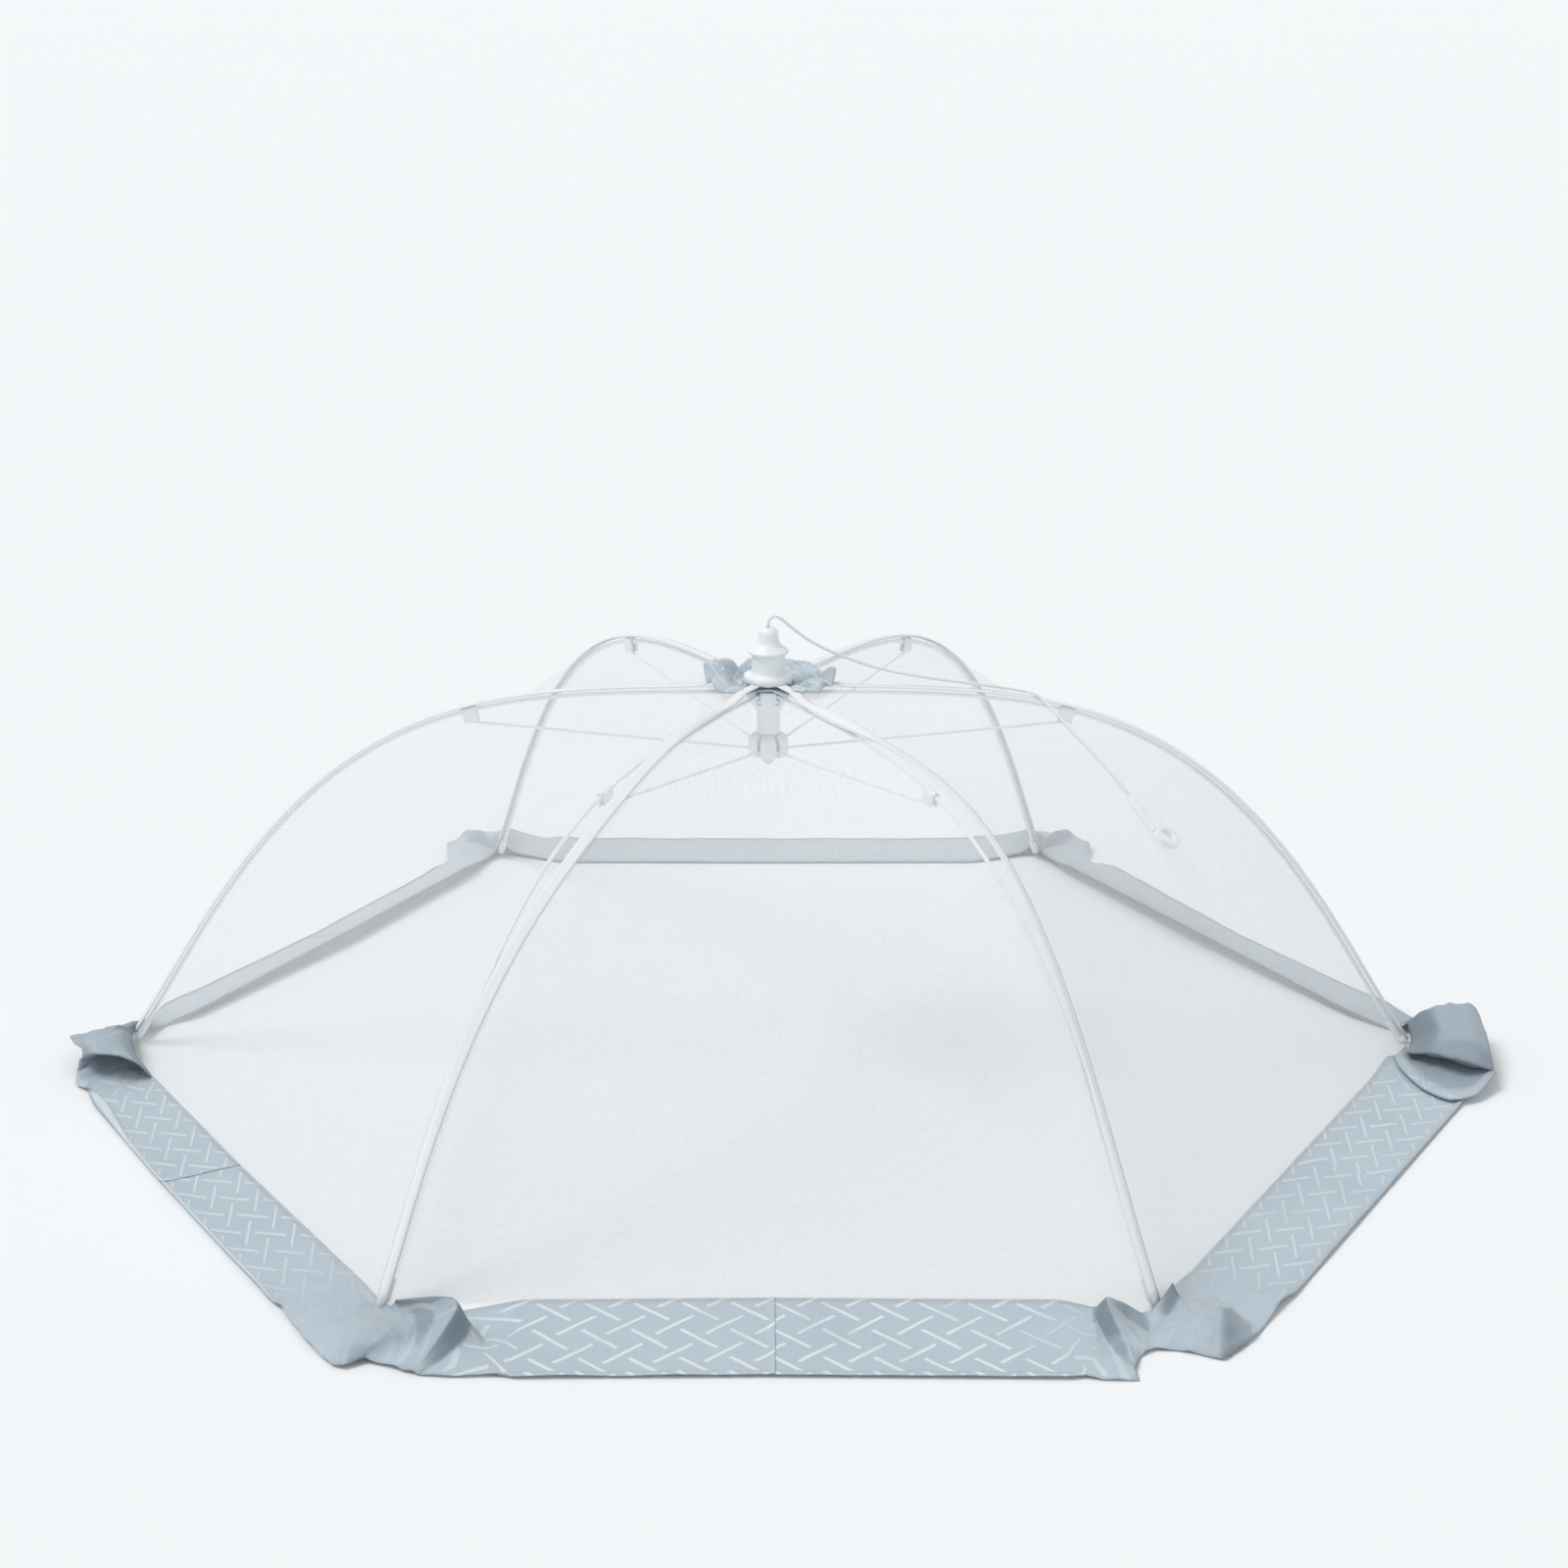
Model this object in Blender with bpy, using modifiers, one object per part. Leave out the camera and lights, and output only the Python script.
"""Pop-up mesh food cover: six curved ribs, a net dome, a printed hem and a pull-cord umbrella mechanism.

Metres, +Z up. The table is z = 0 and the axis of the dome is the Z axis. The shape repeats every
60 degrees. Each rib, with all that is sewn or clipped to it, is made once in the plane y = 0 of the
first rib and copied round the axis, so the first rib points along +X.
"""

import math

import bmesh
import bpy
from mathutils import Matrix, Vector

# The dome: how many ribs, how far they reach and how they curve.
RIB_COUNT = 6
RIB_SPAN = 0.401
RIB_RISE = 0.2297
RIB_FLATNESS_SHARE = 4.0
RIB_DROP_SHARE = 1.26
RIB_RADIUS = 0.0012

# Clearance between pieces that touch, how far a cutter reaches past what it cuts, and how close
# two points of one surface lie before they are welded.
GAP = 0.0003
OVERRUN = 0.003
WELD_DISTANCE = 0.00001

# Net canopy, its seam tapes and the crown patch.
NET_LIFT = 0.0030
NET_THICKNESS = 0.0008
NET_HOLE_RADIUS = 0.0052
NET_TAUT_RADIUS = 0.0330
NET_SLACK_RADIUS = 0.0800
NET_SAG_SHARE = 0.055
NET_COLUMNS_PER_SIDE = 4
NET_RIDGE_WIDTH = 0.0064
NET_RIDGE_SHARE = 0.25
TAPE_WIDTH = 0.0064
TAPE_THICKNESS = 0.0006
PATCH_RADIUS = NET_TAUT_RADIUS
PATCH_THICKNESS = 0.0009
PATCH_PLEAT = 0.0018
PATCH_PLEATS = 18
PATCH_INNER_PLEAT_SHARE = 0.4
PATCH_ROWS = 4

# Hem band, laid flat on the table outside the ribs, and its gathered corners.
HEM_TUCK = 0.0043
HEM_WIDTH = 0.065
HEM_THICKNESS = 0.0012
HEM_ROLL_WIDTH = 0.0060
HEM_ROLL_HEIGHT = 0.0026
GATHER_REACH = 0.022
GATHER_WIDTH = 0.064
GATHER_HEIGHT = 0.020
GATHER_CLEAR = 0.009
GATHER_FOLDS = 3
GATHER_NOTCH_SHARE = 0.12
GATHER_DROP_SHARE = 0.75
GATHER_COLUMNS = 18
GATHER_ROWS = 5

# Rib ends.
TIP_RADIUS = 0.0025
TIP_LENGTH = 0.0130
TIP_BORE_DEPTH = 0.0090
TIP_ROUND = 0.0012
TIP_START_HEIGHT = 0.0148

# Hub, the crown piece that the ribs hook into.
HUB_WIRE_RING_RADIUS = 0.0095
RING_WIRE_RADIUS = 0.0006
HUB_RADIUS = 0.0125
HUB_RIM_HEIGHT = 0.0048
HUB_EDGE = 0.0006
HUB_CORE_RADIUS = 0.0059
HUB_NECK_RADIUS = 0.0070
HUB_FUNNEL_HEIGHT = 0.0139
HUB_NECK_LENGTH = 0.0140
HUB_SOCKET_RADIUS = 0.0052
HUB_SOCKET_DEPTH = 0.0133
CORD_BORE_RADIUS = 0.0016

# Top cap and finial.
CAP_SEAT_PLEAT_SHARE = 0.6
CAP_FLANGE_RADIUS = 0.0150
CAP_FLANGE_HEIGHT = 0.0055
CAP_FLANGE_ROUND = 0.0022
CAP_RADIUS = 0.0100
CAP_HEIGHT = 0.0179
CAP_TOP_ROUND = 0.0006
CAP_STEM_RADIUS = 0.0045
CAP_STEM_LENGTH = 0.0132
FINIAL_BASE_RADIUS = 0.0122
FINIAL_BASE_HEIGHT = 0.0016
FINIAL_WAIST_RADIUS = 0.0070
FINIAL_WAIST_HEIGHT = 0.0058
FINIAL_TOP_RADIUS = 0.0060
FINIAL_HEIGHT = 0.0157
FINIAL_DOME = 0.0038
FINIAL_SPIGOT_RADIUS = 0.0050
FINIAL_SPIGOT_LENGTH = 0.0045

# Runner, the sliding piece that the stretchers push out from.
RUNNER_PIVOT_DROP = 0.0097
RUNNER_RADIUS = 0.0120
RUNNER_HEIGHT = 0.0137
RUNNER_FLARE_HEIGHT = 0.0030
RUNNER_EDGE = 0.0008
RUNNER_CORE_RADIUS = 0.0063
RUNNER_SPIGOT_RADIUS = 0.0049
RUNNER_SPIGOT_LENGTH = 0.0126
RUNNER_WIRE_RING_RADIUS = 0.0090
KNOT_RADIUS = 0.0032
KNOT_HEIGHT = 0.0060

# Stretchers and the clips that join them to the ribs.
CLIP_RIB_PLACE = 0.180
CLIP_DROP = 0.0054
CLIP_WALL = 0.0010
CLIP_LENGTH = 0.0090
CLIP_TOE = 0.0016
CLIP_PIN_RADIUS = 0.0006
STRETCHER_RADIUS = 0.0009
STRETCHER_SIDE_GAP = 0.0004

# Pull cord and its pull.
CORD_RADIUS = 0.0009
PULL_LENGTH = 0.0340
PULL_TOP_WIDTH = 0.0050
PULL_WIDTH = 0.0135
PULL_RING_RADIUS = 0.0085
PULL_HOLE_RADIUS = 0.0046
PULL_THICKNESS = 0.0036
PULL_EDGE = 0.0008
PULL_NECK_SHARE = 0.18
PULL_WAIST_SHARE = 0.62
PULL_RING_OPEN_SHARE = 0.28
PULL_RING_STEPS = 14

# The route of the cord from the finial to the crest of the first rib, and from there to its pull.
CORD_UPPER_ROUTE = [
    (0.0000, 0.0000, 0.2703),
    (0.0000, 0.0000, 0.2722),
    (0.0004, 0.0000, 0.2740),
    (0.0017, 0.0000, 0.2757),
    (0.0038, 0.0000, 0.2764),
    (0.0062, 0.0000, 0.2757),
    (0.0090, 0.0000, 0.2738),
    (0.0150, 0.0000, 0.2688),
    (0.0240, 0.0000, 0.2620),
    (0.0360, 0.0000, 0.2556),
    (0.0510, 0.0000, 0.2494),
    (0.0680, 0.0000, 0.2440),
    (0.0860, 0.0000, 0.2402),
    (0.1040, 0.0000, 0.2373),
    (0.1210, 0.0000, 0.2351),
    (0.1360, 0.0000, 0.2331),
    (0.1480, 0.0000, 0.2311),
    (0.1560, 0.0000, 0.2295),
]
CORD_LOWER_ROUTE = [
    (0.1563, -0.0001, 0.2294),
    (0.1610, -0.0022, 0.2286),
    (0.1648, -0.0060, 0.2262),
    (0.1680, -0.0105, 0.2239),
    (0.1715, -0.0165, 0.2212),
    (0.1760, -0.0235, 0.2176),
    (0.1820, -0.0320, 0.2129),
    (0.1890, -0.0410, 0.2074),
    (0.1970, -0.0500, 0.2002),
    (0.2040, -0.0580, 0.1939),
    (0.2110, -0.0655, 0.1866),
]
CORD_STEPS_PER_SPAN = 3
CORD_SHORT_SPAN = 0.0072

CIRCLE_STEPS = 24
RING_WIRE_SIDES = 6
EYE_STEPS = 8
DOME_STEPS = 20

SECTOR = 2 * math.pi / RIB_COUNT
HALF_SECTOR = SECTOR / 2

EYE_RADIUS = RIB_RADIUS + RING_WIRE_RADIUS + GAP
HINGE_HEIGHT = RIB_RISE - EYE_RADIUS
HUB_TOP = RIB_RISE + NET_LIFT - GAP
TAPE_START_RADIUS = PATCH_RADIUS + PATCH_PLEAT
HEM_INNER_APOTHEM = RIB_SPAN * math.cos(HALF_SECTOR) - HEM_TUCK

NET_TOP = RIB_RISE + NET_LIFT + NET_THICKNESS
CAP_BOTTOM = NET_TOP + GAP + PATCH_PLEAT * CAP_SEAT_PLEAT_SHARE + PATCH_THICKNESS + GAP
CAP_STEM_BOTTOM = CAP_BOTTOM - CAP_STEM_LENGTH
CAP_TOP = CAP_BOTTOM + CAP_HEIGHT
FINIAL_BOTTOM = CAP_TOP + GAP
FINIAL_TOP = FINIAL_BOTTOM + FINIAL_HEIGHT
HUB_FUNNEL_BOTTOM = HUB_TOP - HUB_FUNNEL_HEIGHT
HUB_NECK_BOTTOM = HUB_FUNNEL_BOTTOM - HUB_NECK_LENGTH
HUB_SOCKET_TOP = HUB_NECK_BOTTOM + HUB_SOCKET_DEPTH
RUNNER_TOP = HUB_NECK_BOTTOM - GAP
RUNNER_PIVOT_HEIGHT = RUNNER_TOP - RUNNER_PIVOT_DROP
RUNNER_BOTTOM = RUNNER_TOP - RUNNER_HEIGHT
RUNNER_FLARE_BOTTOM = RUNNER_TOP - RUNNER_FLARE_HEIGHT
RUNNER_SPIGOT_TOP = RUNNER_TOP + RUNNER_SPIGOT_LENGTH
STRETCHER_EYE_RADIUS = STRETCHER_RADIUS + CLIP_PIN_RADIUS + GAP


def material(name, colour, roughness, metallic=0.0):
    """A Principled material."""
    made = bpy.data.materials.new(name)
    made.use_nodes = True
    shader = made.node_tree.nodes["Principled BSDF"]
    shader.inputs["Base Color"].default_value = (*colour, 1.0)
    shader.inputs["Roughness"].default_value = roughness
    shader.inputs["Metallic"].default_value = metallic
    made.diffuse_color = (*colour, 1.0)
    return made


def new_collection(name):
    """A collection linked to the scene."""
    made = bpy.data.collections.new(name)
    bpy.context.scene.collection.children.link(made)
    return made


def add(name, data, finish=None, into=None, parent=None, place=None):
    """An object made from data, placed under its parent."""
    made = bpy.data.objects.new(name, data)
    (into or PARTS).objects.link(made)
    if finish is not None and not data.materials:
        data.materials.append(finish)
    made.parent = parent
    if place is not None:
        made.matrix_local = place
    return made


def pivot(name, place, parent=None):
    """An empty on a joint's axis, which carries what turns or slides there."""
    made = bpy.data.objects.new(name, None)
    PARTS.objects.link(made)
    made.parent = parent
    made.matrix_local = place
    return made


def evaluated_copy(source, name):
    """A mesh of an object as its modifiers leave it, with a curve's caps welded to its sides."""
    bpy.context.view_layer.update()
    graph = bpy.context.evaluated_depsgraph_get()
    mesh = bpy.data.meshes.new_from_object(source.evaluated_get(graph), depsgraph=graph)
    mesh.name = name
    form = bmesh.new()
    form.from_mesh(mesh)
    bmesh.ops.remove_doubles(form, verts=form.verts, dist=WELD_DISTANCE)
    bmesh.ops.recalc_face_normals(form, faces=form.faces)
    form.to_mesh(mesh)
    form.free()
    return mesh


def turned(name, profile, finish=None, into=None, parent=None, place=None, steps=CIRCLE_STEPS):
    """A closed profile of (radius, height) points, spun round Z by a Screw modifier."""
    mesh = bpy.data.meshes.new(name)
    form = bmesh.new()
    points = [form.verts.new((radius, 0, height)) for radius, height in profile]
    for start, end in zip(points, points[1:] + points[:1]):
        form.edges.new((start, end))
    form.to_mesh(mesh)
    form.free()
    made = add(name, mesh, finish, into, parent, place)
    screw = made.modifiers.new("Screw", "SCREW")
    screw.steps = steps
    screw.render_steps = steps
    screw.use_merge_vertices = True
    screw.merge_threshold = WELD_DISTANCE
    screw.use_smooth_shade = True
    return made


def wire_curve(name, points, radius):
    """A round wire or cord along a list of points, with filled ends."""
    curve = bpy.data.curves.new(name, "CURVE")
    curve.dimensions = "3D"
    curve.bevel_depth = radius
    curve.bevel_resolution = 2
    curve.use_fill_caps = True
    spline = curve.splines.new("POLY")
    spline.points.add(len(points) - 1)
    for point, place in zip(spline.points, points):
        point.co = (*place, 1)
    return curve


def outline_curve(name, outlines, thickness, edge=0.0):
    """A flat plate, filled inside its outlines, with its middle plane at z = 0."""
    curve = bpy.data.curves.new(name, "CURVE")
    curve.dimensions = "2D"
    curve.fill_mode = "BOTH"
    curve.extrude = thickness / 2 - edge
    curve.bevel_depth = edge
    curve.bevel_resolution = 1 if edge else 0
    curve.offset = -edge
    for outline in outlines:
        spline = curve.splines.new("POLY")
        spline.points.add(len(outline) - 1)
        for point, (x, y) in zip(spline.points, outline):
            point.co = (x, y, 0, 1)
        spline.use_cyclic_u = True
    return curve


def arc(centre, radius, start, end, steps):
    """Points on a circle, from one angle to another."""
    angles = [start + (end - start) * step / steps for step in range(steps + 1)]
    return [(centre[0] + radius * math.cos(a), centre[1] + radius * math.sin(a)) for a in angles]


def boolean(target, cutter, operation):
    """A Boolean modifier with the exact solver."""
    made = target.modifiers.new(operation.title(), "BOOLEAN")
    made.operation = operation
    made.solver = "EXACT"
    made.object = cutter


def hide(cutter):
    """Marks an object as a guide that isn't part of the model."""
    cutter.hide_render = True
    cutter.display_type = "WIRE"


def sheet(name, rows, columns, place_of, thickness, finish, parent=None, place=None):
    """A grid whose points place_of(row share, column share) sets, given a thickness outwards."""
    form = bmesh.new()
    bmesh.ops.create_grid(form, x_segments=columns, y_segments=rows, size=0.5)
    for vertex in form.verts:
        vertex.co = place_of(vertex.co.y + 0.5, vertex.co.x + 0.5)
    for face in form.faces:
        face.smooth = True
    bmesh.ops.recalc_face_normals(form, faces=form.faces)
    form.normal_update()
    if sum(face.normal.z for face in form.faces) < 0:
        bmesh.ops.reverse_faces(form, faces=form.faces)
    mesh = bpy.data.meshes.new(name)
    form.to_mesh(mesh)
    form.free()
    made = add(name, mesh, finish, parent=parent, place=place)
    wall = made.modifiers.new("Solidify", "SOLIDIFY")
    wall.thickness = thickness
    wall.offset = 1.0
    return made


def rib_reach(height):
    """Distance from the axis at which a rib's curve has this height."""
    drop = (height / RIB_RISE) ** (1 / RIB_DROP_SHARE)
    return RIB_SPAN * (1 - drop) ** (1 / RIB_FLATNESS_SHARE)


def rib_line(radius):
    """Height and downward slope of a rib's centre line, which ends straight in its tip."""
    bent = min(radius, rib_reach(TIP_START_HEIGHT))
    share = bent / RIB_SPAN
    fall = 1 - share**RIB_FLATNESS_SHARE
    slope = RIB_DROP_SHARE * fall ** (RIB_DROP_SHARE - 1) * RIB_FLATNESS_SHARE
    slope *= share ** (RIB_FLATNESS_SHARE - 1) * RIB_RISE / RIB_SPAN
    return RIB_RISE * fall**RIB_DROP_SHARE - slope * (radius - bent), slope


def rib_height(radius):
    """Height of a rib's centre line at a distance from the axis."""
    return rib_line(radius)[0]


def rib_normal(radius):
    """Outward unit normal (radial, vertical) of a rib's curve."""
    slope = rib_line(radius)[1]
    length = math.hypot(slope, 1)
    return slope / length, 1 / length


def net_sag_share(radius):
    """How far the net hangs in between two ribs, as a share of the distance from the axis."""
    grown = (radius - NET_TAUT_RADIUS) / (NET_SLACK_RADIUS - NET_TAUT_RADIUS)
    grown = min(max(grown, 0), 1)
    return NET_SAG_SHARE * grown * grown * (3 - 2 * grown) * (1 - (radius / RIB_SPAN) ** 2)


def net_point(radius, side, share, lift):
    """A point of the net: share is 0 at the flat ridge over the rib and 1 halfway to the next."""
    out, up = rib_normal(radius)
    reach = radius + lift * out
    height = rib_height(radius) + lift * up
    ridge = ridge_half_width(reach)
    sag = net_sag_share(radius) * reach * share * (2 - share)
    x = reach - share * reach * math.sin(HALF_SECTOR) ** 2 - sag * out * math.cos(HALF_SECTOR)
    y = ridge + share * (reach * math.sin(HALF_SECTOR) * math.cos(HALF_SECTOR) - ridge)
    y -= share * sag * out * math.sin(HALF_SECTOR)
    return Vector((x, side * y, height - sag * up))


def ridge_half_width(reach):
    """Half the width of the flat strip of net that lies over a rib."""
    return min(NET_RIDGE_WIDTH / 2, NET_RIDGE_SHARE * reach)


def stations(start, end):
    """Distances from the axis at which every piece that follows the dome has its points."""
    steps = [RIB_SPAN * math.sin(step / DOME_STEPS * math.pi / 2) for step in range(DOME_STEPS)]
    clear = NET_RIDGE_WIDTH / 2
    return [start] + [radius for radius in steps if start + clear < radius < end - clear] + [end]


def net_rim_radius():
    """Distance from the axis at which the net's inner face comes down to the hem band."""
    start = rib_reach(TIP_START_HEIGHT)
    height, slope = rib_line(start)
    return start + (height + NET_LIFT * rib_normal(start)[1] - HEM_THICKNESS - GAP) / slope


def eye_points(radius, wire_radius, steps=EYE_STEPS):
    """An open hook in the plane of its stem, which leaves its top along +X."""
    low = math.asin((radius - 2 * wire_radius - GAP) / radius)
    return arc((0, 0), radius, low + 2 * math.pi, math.pi / 2, steps)


def clip_frame():
    """Where the rib passes through its clip: place, tangent and normal in the rib's plane."""
    out, up = rib_normal(CLIP_RIB_PLACE)
    middle = Vector((CLIP_RIB_PLACE, 0, rib_height(CLIP_RIB_PLACE)))
    return middle, Vector((up, 0, -out)), Vector((out, 0, up))


def clip_pivot():
    """The pin on which a stretcher turns."""
    middle, _, normal = clip_frame()
    return middle - normal * CLIP_DROP


def runner_pivot():
    """The point of the runner's ring wire that a stretcher points at."""
    return Vector((RUNNER_WIRE_RING_RADIUS, 0, RUNNER_PIVOT_HEIGHT))


def hinge_point():
    """The point of the hub's ring wire that a rib turns on."""
    return Vector((HUB_WIRE_RING_RADIUS, 0, HINGE_HEIGHT))


def make_hub():
    """The crown piece: a slotted rim on a funnel, with a socket for the runner below."""
    rim_bottom = HUB_TOP - HUB_RIM_HEIGHT
    stem_bore = CAP_STEM_RADIUS + GAP
    profile = [
        (stem_bore, HUB_TOP),
        (HUB_RADIUS - HUB_EDGE, HUB_TOP),
        (HUB_RADIUS, HUB_TOP - HUB_EDGE),
        (HUB_RADIUS, rim_bottom),
        ((HUB_RADIUS + HUB_NECK_RADIUS) / 2, (rim_bottom + HUB_FUNNEL_BOTTOM) / 2 - HUB_EDGE),
        (HUB_NECK_RADIUS, HUB_FUNNEL_BOTTOM),
        (HUB_NECK_RADIUS, HUB_NECK_BOTTOM + HUB_EDGE),
        (HUB_NECK_RADIUS - HUB_EDGE, HUB_NECK_BOTTOM),
        (HUB_SOCKET_RADIUS, HUB_NECK_BOTTOM),
        (HUB_SOCKET_RADIUS, HUB_SOCKET_TOP),
        (CORD_BORE_RADIUS, HUB_SOCKET_TOP),
        (CORD_BORE_RADIUS, CAP_STEM_BOTTOM - GAP),
        (stem_bore, CAP_STEM_BOTTOM - GAP),
    ]
    hub = turned("rib_hub", profile, PLASTIC)
    slot_bottom = HINGE_HEIGHT - EYE_RADIUS - RIB_RADIUS - GAP
    slots = slot_cutters("hub_slots", HUB_CORE_RADIUS, HUB_RADIUS, RIB_RADIUS + GAP, slot_bottom, HUB_TOP)
    boolean(hub, slots, "DIFFERENCE")
    half = RING_WIRE_RADIUS + GAP
    groove_bottom = HINGE_HEIGHT - half
    groove = groove_cutter("hub_groove", HUB_WIRE_RING_RADIUS, half, groove_bottom, HUB_TOP + OVERRUN)
    boolean(hub, groove, "DIFFERENCE")
    ring_wire("hub_ring_wire", HUB_WIRE_RING_RADIUS, HINGE_HEIGHT)


def slot_cutters(name, inner, outer, half_width, bottom, top):
    """Radial slots, one for each rib, open outwards."""
    form = bmesh.new()
    length = outer + OVERRUN - inner
    height = top + OVERRUN - bottom
    for index in range(RIB_COUNT):
        middle = Vector((inner + length / 2, 0, bottom + height / 2))
        place = Matrix.Rotation(index * SECTOR, 4, "Z") @ Matrix.Translation(middle)
        size = Matrix.Diagonal((length, 2 * half_width, height, 1))
        bmesh.ops.create_cube(form, size=1, matrix=place @ size)
    mesh = bpy.data.meshes.new(name)
    form.to_mesh(mesh)
    form.free()
    cutter = add(name, mesh, into=CUTTERS)
    hide(cutter)
    return cutter


def groove_cutter(name, radius, half_width, bottom, top):
    """An annular groove for a ring wire."""
    profile = [
        (radius - half_width, top),
        (radius + half_width, top),
        (radius + half_width, bottom),
        (radius - half_width, bottom),
    ]
    cutter = turned(name, profile, into=CUTTERS)
    hide(cutter)
    return cutter


def ring_wire(name, radius, height, parent=None, place=None):
    """The wire ring that hooks are threaded on."""
    section = arc((radius, height), RING_WIRE_RADIUS, math.pi, -math.pi, RING_WIRE_SIDES)[:-1]
    return turned(name, section, STEEL, parent=parent, place=place)


def make_cap():
    """The cap that clamps the net on the hub, and the finial that the cord leaves."""
    flange_top = CAP_BOTTOM + CAP_FLANGE_HEIGHT
    recess_bottom = CAP_TOP - FINIAL_SPIGOT_LENGTH - GAP
    recess = FINIAL_SPIGOT_RADIUS + GAP
    edge = CAP_FLANGE_RADIUS - CAP_FLANGE_ROUND
    half_pi = math.pi / 2
    upper = arc((edge, flange_top - CAP_FLANGE_ROUND), CAP_FLANGE_ROUND, half_pi, 0, 3)
    lower = arc((edge, CAP_BOTTOM + CAP_FLANGE_ROUND), CAP_FLANGE_ROUND, 0, -half_pi, 3)
    profile = [
        (recess, CAP_TOP),
        (CAP_RADIUS - CAP_TOP_ROUND, CAP_TOP),
        (CAP_RADIUS, CAP_TOP - CAP_TOP_ROUND),
        (CAP_RADIUS, flange_top),
        *upper,
        *lower,
        (CAP_STEM_RADIUS, CAP_BOTTOM),
        (CAP_STEM_RADIUS, CAP_STEM_BOTTOM),
        (CORD_BORE_RADIUS, CAP_STEM_BOTTOM),
        (CORD_BORE_RADIUS, recess_bottom),
        (recess, recess_bottom),
    ]
    turned("top_cap", profile, PLASTIC)
    base = FINIAL_BOTTOM
    foot_top = base + FINIAL_BASE_HEIGHT
    waist = base + FINIAL_WAIST_HEIGHT
    shoulder = FINIAL_TOP - FINIAL_DOME
    dome_centre = (CORD_BORE_RADIUS, shoulder)
    dome = [
        (
            dome_centre[0] + (FINIAL_TOP_RADIUS - CORD_BORE_RADIUS) * math.cos(turn),
            dome_centre[1] + FINIAL_DOME * math.sin(turn),
        )
        for turn in (math.pi * step / 8 for step in (4, 3, 2, 1, 0))
    ]
    profile = [
        *dome,
        (FINIAL_WAIST_RADIUS, waist),
        ((FINIAL_WAIST_RADIUS + FINIAL_BASE_RADIUS) / 2, (foot_top + waist) / 2 - CAP_TOP_ROUND),
        (FINIAL_BASE_RADIUS, foot_top),
        (FINIAL_BASE_RADIUS, base),
        (FINIAL_SPIGOT_RADIUS, base),
        (FINIAL_SPIGOT_RADIUS, base - FINIAL_SPIGOT_LENGTH),
        (CORD_BORE_RADIUS, base - FINIAL_SPIGOT_LENGTH),
    ]
    turned("cap_finial", profile, PLASTIC)


def patch_point(radius_share, turn_share):
    """The gathered crown patch lies on the net and stands up in small pleats."""
    radius = NET_HOLE_RADIUS + (PATCH_RADIUS - NET_HOLE_RADIUS) * radius_share
    angle = 2 * math.pi * turn_share
    grown = PATCH_INNER_PLEAT_SHARE + (1 - PATCH_INNER_PLEAT_SHARE) * radius_share
    pleat = PATCH_PLEAT * (0.5 - 0.5 * math.cos(angle * PATCH_PLEATS)) * grown
    rest = NET_TOP + GAP
    return Vector((radius * math.cos(angle), radius * math.sin(angle), rest + pleat))


def make_crown_patch():
    """The ring of printed fabric gathered round the hub, over the net and under the cap."""
    made = sheet(
        "crown_patch", PATCH_ROWS, 2 * PATCH_PLEATS, patch_point, PATCH_THICKNESS, FABRIC
    )
    form = bmesh.new()
    form.from_mesh(made.data)
    bmesh.ops.remove_doubles(form, verts=form.verts, dist=WELD_DISTANCE)
    form.to_mesh(made.data)
    form.free()


def make_runner():
    """The sliding piece: a slotted flange with a spigot that rises into the hub."""
    slide = pivot("runner_slide", Matrix.Translation((0, 0, RUNNER_PIVOT_HEIGHT)))
    down = Matrix.Translation((0, 0, -RUNNER_PIVOT_HEIGHT))
    profile = [
        (CORD_BORE_RADIUS, RUNNER_SPIGOT_TOP),
        (RUNNER_SPIGOT_RADIUS - RUNNER_EDGE, RUNNER_SPIGOT_TOP),
        (RUNNER_SPIGOT_RADIUS, RUNNER_SPIGOT_TOP - RUNNER_EDGE),
        (RUNNER_SPIGOT_RADIUS, RUNNER_TOP),
        (HUB_NECK_RADIUS, RUNNER_TOP),
        (RUNNER_RADIUS - RUNNER_EDGE, RUNNER_FLARE_BOTTOM),
        (RUNNER_RADIUS, RUNNER_FLARE_BOTTOM - RUNNER_EDGE),
        (RUNNER_RADIUS, RUNNER_BOTTOM + RUNNER_EDGE),
        (RUNNER_RADIUS - RUNNER_EDGE, RUNNER_BOTTOM),
        (CORD_BORE_RADIUS, RUNNER_BOTTOM),
    ]
    runner = turned("runner", profile, PLASTIC, parent=slide, place=down)
    half = STRETCHER_RADIUS + GAP
    bottom = RUNNER_BOTTOM - OVERRUN
    slots = slot_cutters("runner_slots", RUNNER_CORE_RADIUS, RUNNER_RADIUS, half, bottom, RUNNER_TOP)
    boolean(runner, slots, "DIFFERENCE")
    half = RING_WIRE_RADIUS + GAP
    top = RUNNER_PIVOT_HEIGHT + half
    groove = groove_cutter("runner_groove", RUNNER_WIRE_RING_RADIUS, half, bottom, top)
    boolean(runner, groove, "DIFFERENCE")
    ring_wire("runner_ring_wire", RUNNER_WIRE_RING_RADIUS, RUNNER_PIVOT_HEIGHT, slide, down)
    make_inner_cord(slide, down)


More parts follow.
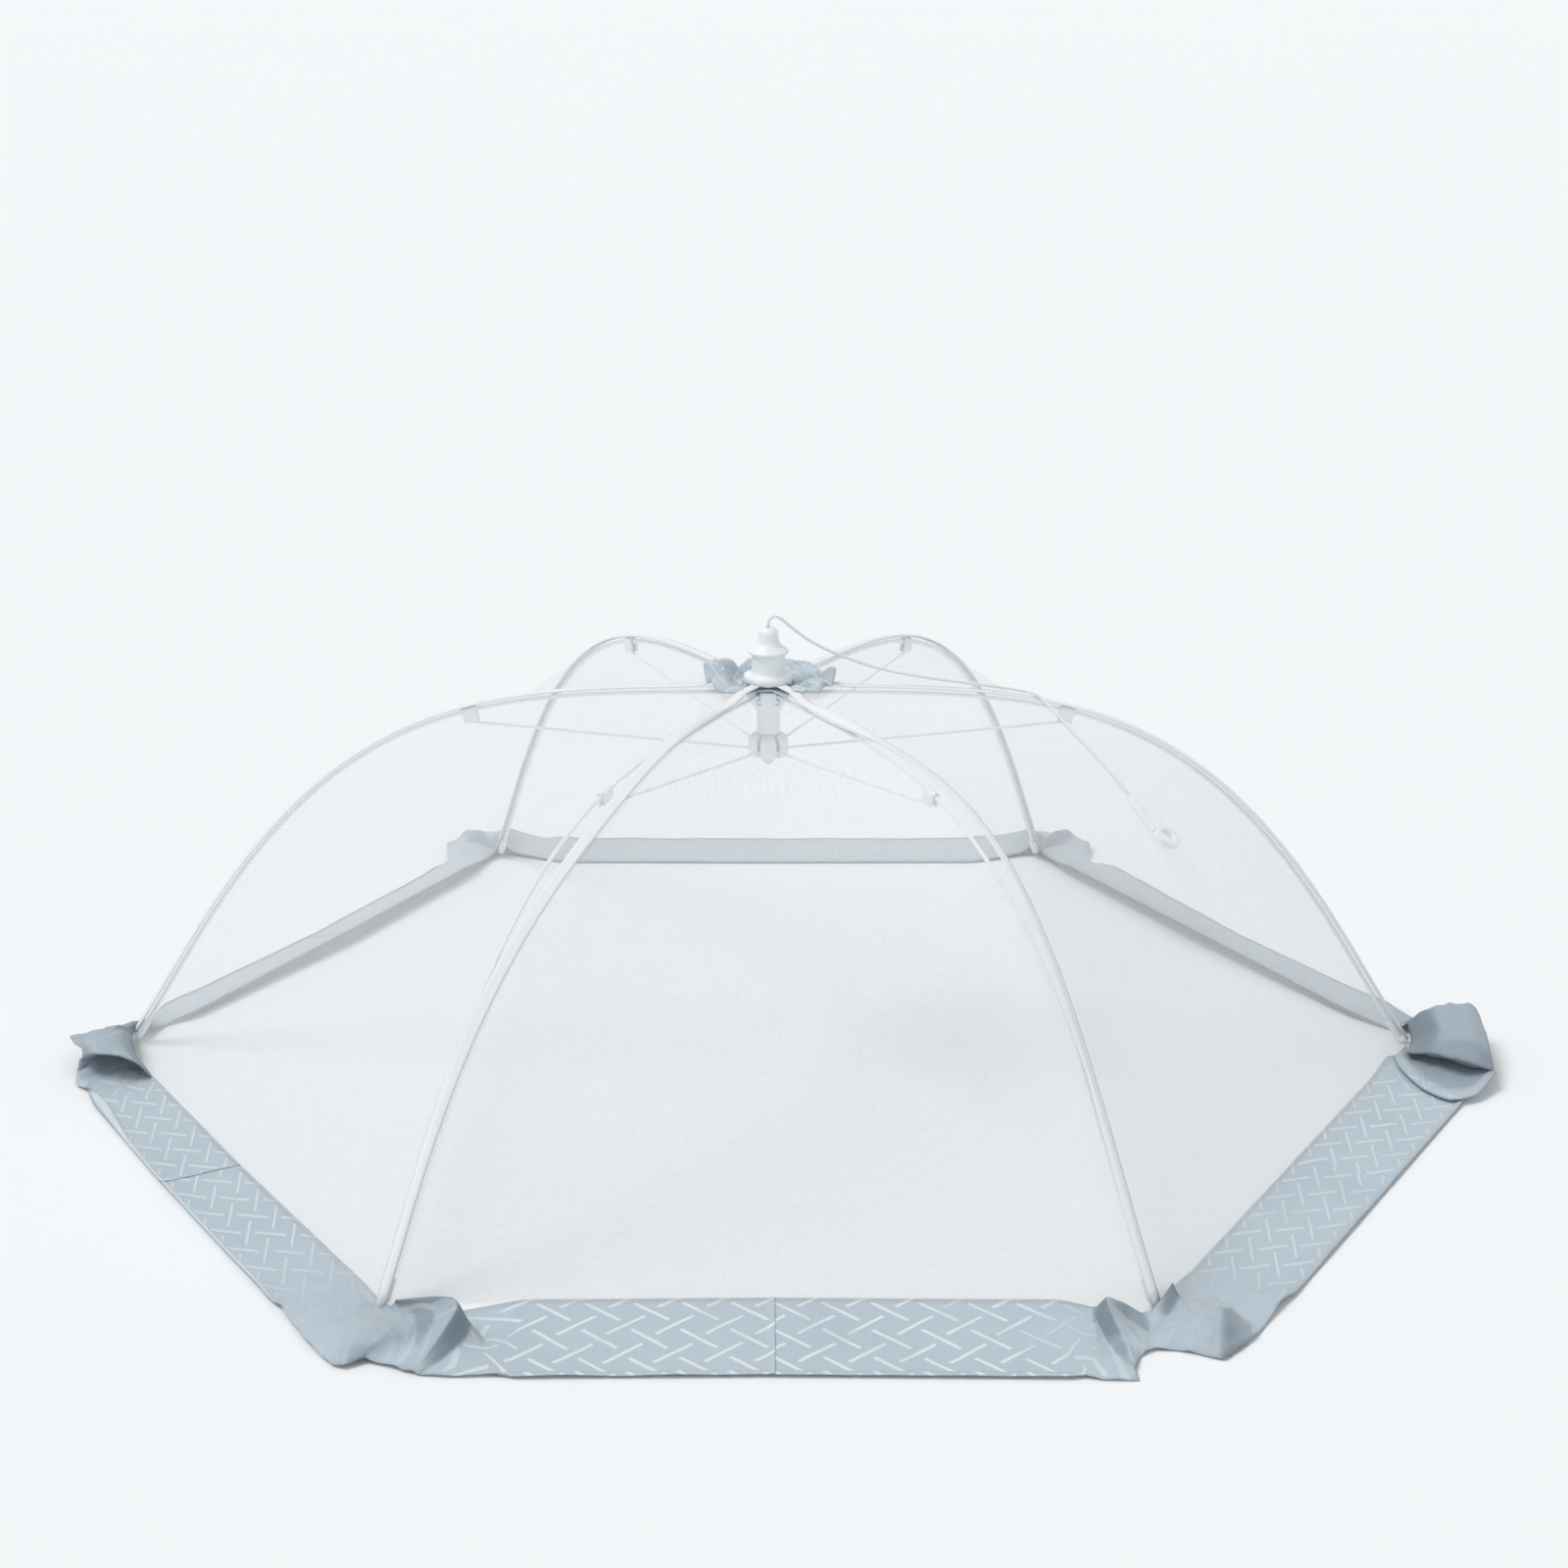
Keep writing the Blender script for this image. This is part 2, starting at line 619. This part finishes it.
def make_inner_cord(slide, down):
    """The cord inside the mechanism, from the knot under the runner to the finial's bore."""
    knot_top = RUNNER_BOTTOM - GAP
    middle = knot_top - KNOT_HEIGHT / 2
    bulge = [
        (
            CORD_RADIUS + (KNOT_RADIUS - CORD_RADIUS) * math.cos(turn),
            middle + KNOT_HEIGHT / 2 * math.sin(turn),
        )
        for turn in (math.pi * step / 8 for step in (4, 2, 0, -2, -4))
    ]
    profile = [(0, FINIAL_TOP), (CORD_RADIUS, FINIAL_TOP), *bulge, (0, middle - KNOT_HEIGHT / 2)]
    turned("inner_cord", profile, CORD, parent=slide, place=down, steps=CIRCLE_STEPS // 2)


def rib_points():
    """A rib's centre line: its hook on the hub, the long curve, and a straight end."""
    hinge = hinge_point()
    hook = [Vector((x, 0, z)) + hinge for x, z in eye_points(EYE_RADIUS, RIB_RADIUS)]
    radii = stations(HUB_WIRE_RING_RADIUS, rib_reach(TIP_START_HEIGHT))[1:]
    curve = [Vector((radius, 0, rib_height(radius))) for radius in radii]
    _, along = tip_frame()
    return hook + curve + [curve[-1] + along * TIP_BORE_DEPTH]


def tip_frame():
    """Where a rib enters its tip, and the direction it has there."""
    radius = rib_reach(TIP_START_HEIGHT)
    out, up = rib_normal(radius)
    return Vector((radius, 0, rib_height(radius))), Vector((up, 0, -out))


def clip_mesh():
    """A clip: a sleeve round the rib with two ears below it and a pin across them."""
    bore = RIB_RADIUS + GAP
    outer = bore + CLIP_WALL
    slot = STRETCHER_RADIUS + STRETCHER_SIDE_GAP
    toe = -CLIP_DROP - CLIP_TOE
    web = -bore - CLIP_WALL / 2 - GAP
    top = arc((0, 0), outer, 0, math.pi, 8)
    outline = top + [(-outer, toe), (-slot, toe), (-slot, web), (slot, web), (slot, toe), (outer, toe)]
    hole = arc((0, 0), bore, 0, -2 * math.pi, 12)[:-1]
    sleeve = add("clip_sleeve", outline_curve("clip_sleeve", [outline, hole], CLIP_LENGTH), into=CUTTERS)
    mesh = evaluated_copy(sleeve, "clip_blank")
    bpy.data.objects.remove(sleeve)
    blank = add("clip_blank", mesh, into=CUTTERS)
    form = bmesh.new()
    span = slot + outer
    place = Matrix.Translation((0, -CLIP_DROP, 0)) @ Matrix.Rotation(math.pi / 2, 4, "Y")
    bmesh.ops.create_cone(
        form,
        cap_ends=True,
        segments=8,
        radius1=CLIP_PIN_RADIUS,
        radius2=CLIP_PIN_RADIUS,
        depth=span,
        matrix=place,
    )
    pin_mesh = bpy.data.meshes.new("clip_pin")
    form.to_mesh(pin_mesh)
    form.free()
    pin = add("clip_pin", pin_mesh, into=CUTTERS)
    boolean(blank, pin, "UNION")
    made = evaluated_copy(blank, "stretcher_clip")
    bpy.data.objects.remove(blank)
    bpy.data.objects.remove(pin)
    return made


def clip_place():
    """The clip's outline lies across the rib, its plate thickness along it."""
    middle, along, normal = clip_frame()
    turn = Matrix((normal.cross(along), normal, along)).transposed().to_4x4()
    return Matrix.Translation(middle) @ turn


def stretcher_points():
    """A stretcher's centre line, from its hook on the clip's pin to its end at the runner."""
    pin, ring = clip_pivot(), runner_pivot()
    span = (ring - pin).length - RING_WIRE_RADIUS - STRETCHER_SIDE_GAP
    lean = math.asin(STRETCHER_EYE_RADIUS / span)
    hook = eye_points(STRETCHER_EYE_RADIUS, STRETCHER_RADIUS)
    flat = hook + [(math.sqrt(span**2 - STRETCHER_EYE_RADIUS**2), STRETCHER_EYE_RADIUS)]
    to_ring = (ring - pin).normalized()
    level = Vector((-to_ring.z, 0, to_ring.x))
    points = []
    for x, y in flat:
        turned_x = x * math.cos(lean) + y * math.sin(lean)
        turned_y = y * math.cos(lean) - x * math.sin(lean)
        points.append(pin + to_ring * turned_x + level * turned_y)
    return points


def tip_profile():
    """A blind cap with a rounded end, along -Z, its mouth at z = 0."""
    bore = RIB_RADIUS + GAP
    return [
        (bore, 0),
        (TIP_RADIUS, 0),
        (TIP_RADIUS, TIP_ROUND - TIP_LENGTH),
        (TIP_RADIUS - TIP_ROUND, -TIP_LENGTH),
        (0, -TIP_LENGTH),
        (0, -TIP_BORE_DEPTH - GAP),
        (bore, -TIP_BORE_DEPTH - GAP),
    ]


def canopy_point(row_share, column_share):
    """A point of one gore of the net, centred on its rib."""
    rows = stations(NET_HOLE_RADIUS, net_rim_radius())
    radius = rows[round(row_share * (len(rows) - 1))]
    edge = 1 - GAP / (radius * math.sin(SECTOR))
    column = round((2 * column_share - 1) * (NET_COLUMNS_PER_SIDE + 0.5) * 2) / 2
    share = max(abs(column) - 0.5, 0) / NET_COLUMNS_PER_SIDE * edge
    return net_point(radius, math.copysign(1, column), share, NET_LIFT)


def tape_point(row_share, column_share):
    """A point of the seam tape, sewn on the net over its rib."""
    lift = NET_LIFT + NET_THICKNESS + GAP
    rows = stations(TAPE_START_RADIUS, net_rim_radius())
    point = net_point(rows[round(row_share * (len(rows) - 1))], 1, 0, lift)
    point.y = TAPE_WIDTH * (column_share - 0.5)
    return point


def hem_band_mesh():
    """One side of the hem, flat on the table, with its rolled outer edge."""
    outer = HEM_INNER_APOTHEM + HEM_WIDTH
    roll = outer - HEM_ROLL_WIDTH
    section = [
        (HEM_INNER_APOTHEM, 0),
        (outer - HEM_THICKNESS, 0),
        (outer, HEM_ROLL_HEIGHT / 2),
        (outer - HEM_THICKNESS, HEM_ROLL_HEIGHT),
        (roll + HEM_THICKNESS, HEM_ROLL_HEIGHT),
        (roll, HEM_THICKNESS),
        (HEM_INNER_APOTHEM, HEM_THICKNESS),
    ]
    half_side = HEM_INNER_APOTHEM * math.tan(HALF_SECTOR)
    length = 2 * (half_side - GATHER_REACH)
    strip = add("hem_strip", outline_curve("hem_section", [section], length), into=CUTTERS)
    mesh = evaluated_copy(strip, "hem_band")
    bpy.data.objects.remove(strip)
    return mesh


def gather_point(across, row, raised):
    """A point of a gathered corner, which fans out between the ends of the two bands."""
    clear = GATHER_CLEAR / GATHER_WIDTH
    out_share = clear + (1 - clear) * (row - 1) / (GATHER_ROWS - 1) if row else 0
    corner = HEM_INNER_APOTHEM / math.cos(HALF_SECTOR)
    turn = HALF_SECTOR * math.sin((across - 0.5) * math.pi)
    slide = (GATHER_REACH - GAP) * abs(2 * across - 1) ** 2
    side = math.copysign(1, across - 0.5)
    start = Vector((corner - slide * math.sin(HALF_SECTOR), side * slide * math.cos(HALF_SECTOR), 0))
    way = Vector((math.cos(turn), math.sin(turn), 0))
    fold = 0.5 - 0.5 * math.cos(2 * math.pi * GATHER_FOLDS * across)
    point = start + way * GATHER_WIDTH * out_share * (1 - GATHER_NOTCH_SHARE * fold)
    if raised:
        rise = min(max((out_share - clear) / (0.5 - clear), 0), 1)
        swell = math.sin(math.pi * across) * (1 - GATHER_DROP_SHARE * out_share**3)
        point.z = HEM_THICKNESS + GATHER_HEIGHT * fold * swell * rise * rise * (3 - 2 * rise)
    return point


def gather_mesh():
    """A gathered corner as a closed solid: a flat foot and a folded top."""
    form = bmesh.new()
    levels = []
    for raised in (False, True):
        bmesh.ops.create_grid(form, x_segments=GATHER_COLUMNS, y_segments=GATHER_ROWS, size=0.5)
        fresh = [v for v in form.verts if not any(v in level for level in levels)]
        levels.append(set(fresh))
        for vertex in fresh:
            row = round((vertex.co.y + 0.5) * GATHER_ROWS)
            vertex.co = gather_point(vertex.co.x + 0.5, row, raised)
    rims = [edge for edge in form.edges if edge.is_boundary]
    bmesh.ops.bridge_loops(form, edges=rims)
    bmesh.ops.recalc_face_normals(form, faces=form.faces)
    mesh = bpy.data.meshes.new("hem_corner")
    form.to_mesh(mesh)
    form.free()
    return mesh


def make_ribs():
    """Six ribs, with all that each one carries, and six stretchers."""
    hinge = hinge_point()
    pin = clip_pivot()
    shared = {
        "rib": (wire_curve("rib", rib_points(), RIB_RADIUS), RIB),
        "stretcher_clip": (clip_mesh(), PLASTIC),
        "hem_band": (hem_band_mesh(), FABRIC),
        "hem_corner": (gather_mesh(), FABRIC),
    }
    stretcher = wire_curve("stretcher", stretcher_points(), STRETCHER_RADIUS)
    tip_at, tip_along = tip_frame()
    tip_turn = Vector((0, 0, -1)).rotation_difference(tip_along).to_matrix().to_4x4()
    places = {
        "stretcher_clip": clip_place(),
        "hem_band": Matrix.Rotation(HALF_SECTOR, 4, "Z") @ Matrix.Rotation(math.pi / 2, 4, "X"),
    }
    for index in range(RIB_COUNT):
        number = index + 1
        round_axis = Matrix.Rotation(index * SECTOR, 4, "Z")
        carrier = pivot(f"rib_hinge_{number}", round_axis @ Matrix.Translation(hinge))
        back = Matrix.Translation(-hinge)
        for name, (data, finish) in shared.items():
            add(f"{name}_{number}", data, finish, parent=carrier, place=back @ places.get(name, Matrix()))
        turned(
            f"rib_tip_{number}",
            tip_profile(),
            PLASTIC,
            parent=carrier,
            place=back @ Matrix.Translation(tip_at) @ tip_turn,
            steps=CIRCLE_STEPS // 2,
        )
        columns = 2 * NET_COLUMNS_PER_SIDE + 1
        rows = len(stations(NET_HOLE_RADIUS, net_rim_radius())) - 1
        sheet(f"canopy_{number}", rows, columns, canopy_point, NET_THICKNESS, NET, carrier, back)
        rows = len(stations(TAPE_START_RADIUS, net_rim_radius())) - 1
        sheet(f"seam_tape_{number}", rows, 1, tape_point, TAPE_THICKNESS, TAPE, carrier, back)
        swing = pivot(f"stretcher_hinge_{number}", Matrix.Translation(pin - hinge), carrier)
        add(f"stretcher_{number}", stretcher, RIB, parent=swing, place=Matrix.Translation(-pin))


def smooth_route(points):
    """More points on a smooth curve through the route's own points."""
    route = [Vector(point) for point in points]
    made = []
    for index in range(len(route) - 1):
        before = route[max(index - 1, 0)]
        start, end = route[index], route[index + 1]
        after = route[min(index + 2, len(route) - 1)]
        spans = 1 if (end - start).length < CORD_SHORT_SPAN else CORD_STEPS_PER_SPAN
        for step in range(spans):
            t = step / spans
            left = (end - before) / 2
            right = (after - start) / 2
            made.append(
                start * (2 * t**3 - 3 * t**2 + 1)
                + left * (t**3 - 2 * t**2 + t)
                + end * (3 * t**2 - 2 * t**3)
                + right * (t**3 - t**2)
            )
    return made + [route[-1]]


def make_pull_cord():
    """The free cord from the finial over the first rib, and the pull on its end."""
    draw = pivot("pull_draw", Matrix.Translation(CORD_LOWER_ROUTE[-1]))
    back = Matrix.Translation(-Vector(CORD_LOWER_ROUTE[-1]))
    add("pull_cord_upper", wire_curve("pull_cord_upper", smooth_route(CORD_UPPER_ROUTE), CORD_RADIUS), CORD)
    lower = wire_curve("pull_cord_lower", smooth_route(CORD_LOWER_ROUTE), CORD_RADIUS)
    add("pull_cord_lower", lower, CORD, parent=draw, place=back)
    end, before = Vector(CORD_LOWER_ROUTE[-1]), Vector(CORD_LOWER_ROUTE[-2])
    out, up = rib_normal(end.x - end.y * math.tan(HALF_SECTOR))
    outward = Vector((out * math.cos(HALF_SECTOR), -out * math.sin(HALF_SECTOR), up))
    along = (end - before).normalized()
    along = (along - outward * along.dot(outward)).normalized()
    level = along.cross(outward)
    turn = Matrix((level, along, -outward)).transposed().to_4x4()
    place = Matrix.Translation(along * GAP) @ turn
    half_top, half = PULL_TOP_WIDTH / 2, PULL_WIDTH / 2
    neck, waist = PULL_LENGTH * PULL_NECK_SHARE, PULL_LENGTH * PULL_WAIST_SHARE
    ring_end = math.pi * (0.5 - PULL_RING_OPEN_SHARE)
    ring = arc((0, PULL_LENGTH), PULL_RING_RADIUS, -ring_end, math.pi + ring_end, PULL_RING_STEPS)
    outline = [(-half_top, 0), (half_top, 0), (half_top, neck), (half, waist), *ring, (-half, waist)]
    outline.append((-half_top, neck))
    hole = arc((0, PULL_LENGTH), PULL_HOLE_RADIUS, 0, -2 * math.pi, PULL_RING_STEPS)[:-1]
    plate = outline_curve("cord_pull", [outline, hole], PULL_THICKNESS, PULL_EDGE)
    add("cord_pull", plate, PLASTIC, parent=draw, place=place)


for leftover in list(bpy.data.objects):
    bpy.data.objects.remove(leftover)

PARTS = new_collection("mesh_food_cover")
CUTTERS = new_collection("cutters")

PLASTIC = material("white moulded plastic", (0.86, 0.87, 0.88), 0.35)
RIB = material("white coated wire", (0.86, 0.88, 0.89), 0.30)
STEEL = material("ring wire steel", (0.62, 0.63, 0.64), 0.30, 1.0)
NET = material("white net", (0.88, 0.90, 0.91), 0.60)
TAPE = material("white seam tape", (0.86, 0.89, 0.90), 0.70)
FABRIC = material("grey-blue printed fabric", (0.43, 0.50, 0.56), 0.70)
CORD = material("white cord", (0.88, 0.89, 0.90), 0.75)

make_hub()
make_cap()
make_crown_patch()
make_runner()
make_ribs()
make_pull_cord()
